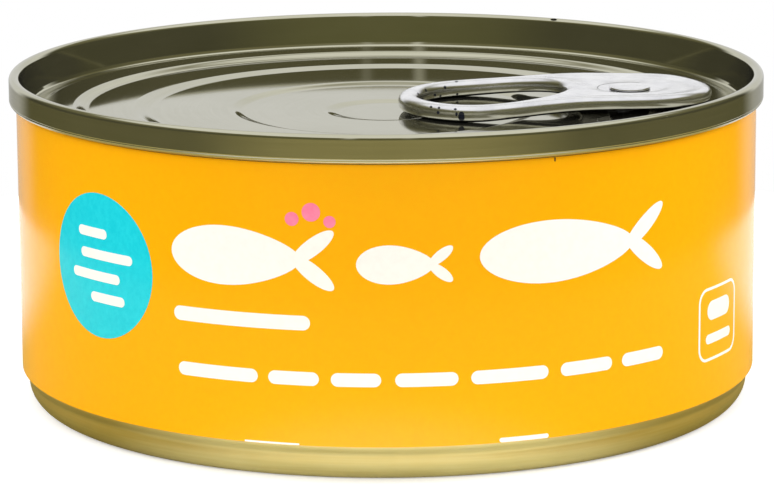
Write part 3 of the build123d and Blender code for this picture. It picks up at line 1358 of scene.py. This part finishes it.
@dataclass
class Studio:
    """Floor, lamps, surroundings and camera."""

    aim: tuple[float, float, float] = (0.0, 0.0, 0.01734)
    look_from_mm: float = 455.0
    look_height_mm: float = 18.0
    elevation_deg: float = 11.89
    roll_deg: float = -0.31
    field_of_view_deg: float = 11.38
    floor_radius: float = 0.13
    sweep: str = "ffffff"
    front_stops: tuple[tuple[float, str], ...] = (
        (0.38, "9e9563"), (0.46, "9e9563"), (0.52, "65633d"), (0.62, "65633d"), (0.76, "6c6844"), (1.0, "9a9878"))
    side_stops: tuple[tuple[float, str], ...] = (
        (0.38, "6a6642"), (0.46, "605c3a"), (0.52, "46442a"), (0.62, "46442a"), (0.76, "767250"), (1.0, "9a9878"))
    strip_lamps: tuple[tuple[float, float], ...] = ((-0.204, 0.55), (0.12, 0.2))
    strip_half_width: float = 0.06
    strip_foot: tuple[float, float] = (0.24, 0.36)
    behind: tuple[float, float] = (0.70, 0.86)
    overhead: tuple[float, float] = (0.60, 0.74)
    below_level: float = 0.4
    front_to_side: tuple[float, float] = (-0.98, -0.45)
    fill: str = "a8a8a8"
    lamps: tuple[tuple[str, tuple[float, float, float], tuple[float, float], float], ...] = (
        ("front_fill", (-0.1, -0.9, 0.5), (0.8, 0.6), 6.1),
        ("left_box", (-0.7, 0.1, 0.3), (0.5, 0.6), 3.4),
        ("right_box", (0.7, 0.1, 0.3), (0.5, 0.6), 5.0),
        ("top_box", (0.0, 0.1, 0.9), (0.8, 0.8), 3.0))

    def build_floor(self) -> None:
        """Make the pale floor."""
        bm = bmesh.new()
        bmesh.ops.create_circle(bm, cap_ends=True, segments=128, radius=self.floor_radius)
        floor = placed("floor", bm)
        floor.data.materials.append(StudioFloor("matt_white_paper_sweep").make())

    def add_lamp(self, name: str, place: tuple[float, float, float], size: tuple[float, float],
                 power: float) -> None:
        """Add a soft rectangular lamp aimed at the can, which no metal mirrors.

        Args:
            name: Lamp name.
            place: Where it hangs, in metres.
            size: Width and height in metres.
            power: Watts.
        """
        data = bpy.data.lights.new(name, "AREA")
        data.shape = "RECTANGLE"
        data.size, data.size_y = size
        data.energy = power
        lamp = bpy.data.objects.new(name, data)
        lamp.location = place
        lamp.rotation_euler = (Vector(self.aim) - Vector(place)).to_track_quat("-Z", "Y").to_euler()
        lamp.visible_glossy = False
        lamp.visible_camera = False
        bpy.context.scene.collection.objects.link(lamp)

    def build_surroundings(self) -> None:
        """Make the world: white to the eye, a white sweep behind the can and a darker room in front."""
        world = bpy.data.worlds.new("white_sweep_and_room")
        bpy.context.scene.world = world
        world.use_nodes = True
        tree = world.node_tree
        tree.nodes.clear()
        way = add_node(tree, "ShaderNodeTexCoord").outputs["Generated"]
        split = add_node(tree, "ShaderNodeSeparateXYZ", {0: way}).outputs
        dimmed = spread(tree, split["Z"], -0.2, 0.0, self.below_level, 1.0, "LINEAR")
        back = calculate(tree, "MULTIPLY", spread(tree, split["Y"], *self.behind), dimmed)
        bright = calculate(tree, "MAXIMUM", back, spread(tree, split["Z"], *self.overhead))
        level = spread(tree, split["Z"], -1.0, 1.0, interpolation="LINEAR")
        turn = spread(tree, split["Y"], *self.front_to_side)
        room = blend(tree, turn, ramp(tree, level, self.front_stops), ramp(tree, level, self.side_stops))
        shown = blend(tree, bright, room, self.sweep)
        bearing = calculate(tree, "ARCTAN2", split["X"], calculate(tree, "MULTIPLY", split["Y"], -1.0))
        high = spread(tree, split["Z"], *self.strip_foot)
        for place, strength in self.strip_lamps:
            away = calculate(tree, "ABSOLUTE", calculate(tree, "SUBTRACT", bearing, place))
            near = spread(tree, away, 0.0, self.strip_half_width, strength, 0.0)
            shown = blend(tree, calculate(tree, "MULTIPLY", near, high), shown, self.sweep)
        path = add_node(tree, "ShaderNodeLightPath").outputs
        mirrored = blend(tree, path["Is Glossy Ray"], self.fill, shown)
        seen = blend(tree, path["Is Camera Ray"], mirrored, self.sweep)
        surface = add_node(tree, "ShaderNodeBackground", {"Color": seen}, inputs={"Strength": 1.0}).outputs[0]
        add_node(tree, "ShaderNodeOutputWorld", {"Surface": surface})

    def build_camera(self) -> None:
        """Place the camera."""
        data = bpy.data.cameras.new("camera")
        data.sensor_width = 36.0
        data.lens = data.sensor_width / 2 / math.tan(math.radians(self.field_of_view_deg) / 2)
        data.clip_start = 0.01
        tilt = math.radians(self.elevation_deg)
        reach = self.look_from_mm * MM
        place = Vector((0, -reach * math.cos(tilt), self.look_height_mm * MM + reach * math.sin(tilt)))
        turn = (Vector(self.aim) - place).to_track_quat("-Z", "Y").to_matrix().to_4x4()
        camera = bpy.data.objects.new("camera", data)
        camera.matrix_world = Matrix.Translation(place) @ turn @ Matrix.Rotation(math.radians(self.roll_deg), 4, "Z")
        bpy.context.scene.collection.objects.link(camera)
        bpy.context.scene.camera = camera

    def build(self) -> None:
        """Make the whole studio."""
        bpy.context.scene.view_settings.view_transform = "Standard"
        self.build_floor()
        self.build_surroundings()
        for lamp in self.lamps:
            self.add_lamp(*lamp)
        self.build_camera()


def main() -> None:
    """Build the can and the studio."""
    logging.basicConfig(level=logging.INFO, format="%(name)s %(message)s")
    DrawnCup().build()
    end = EasyOpenEnd()
    end.build()
    end.build_nick()
    RingTab(end).build()
    sleeve = PaperSleeve()
    sleeve.build_sleeve()
    sleeve.build_lap()
    Print(sleeve).build()
    Studio().build()


if __name__ == "__main__":
    main()
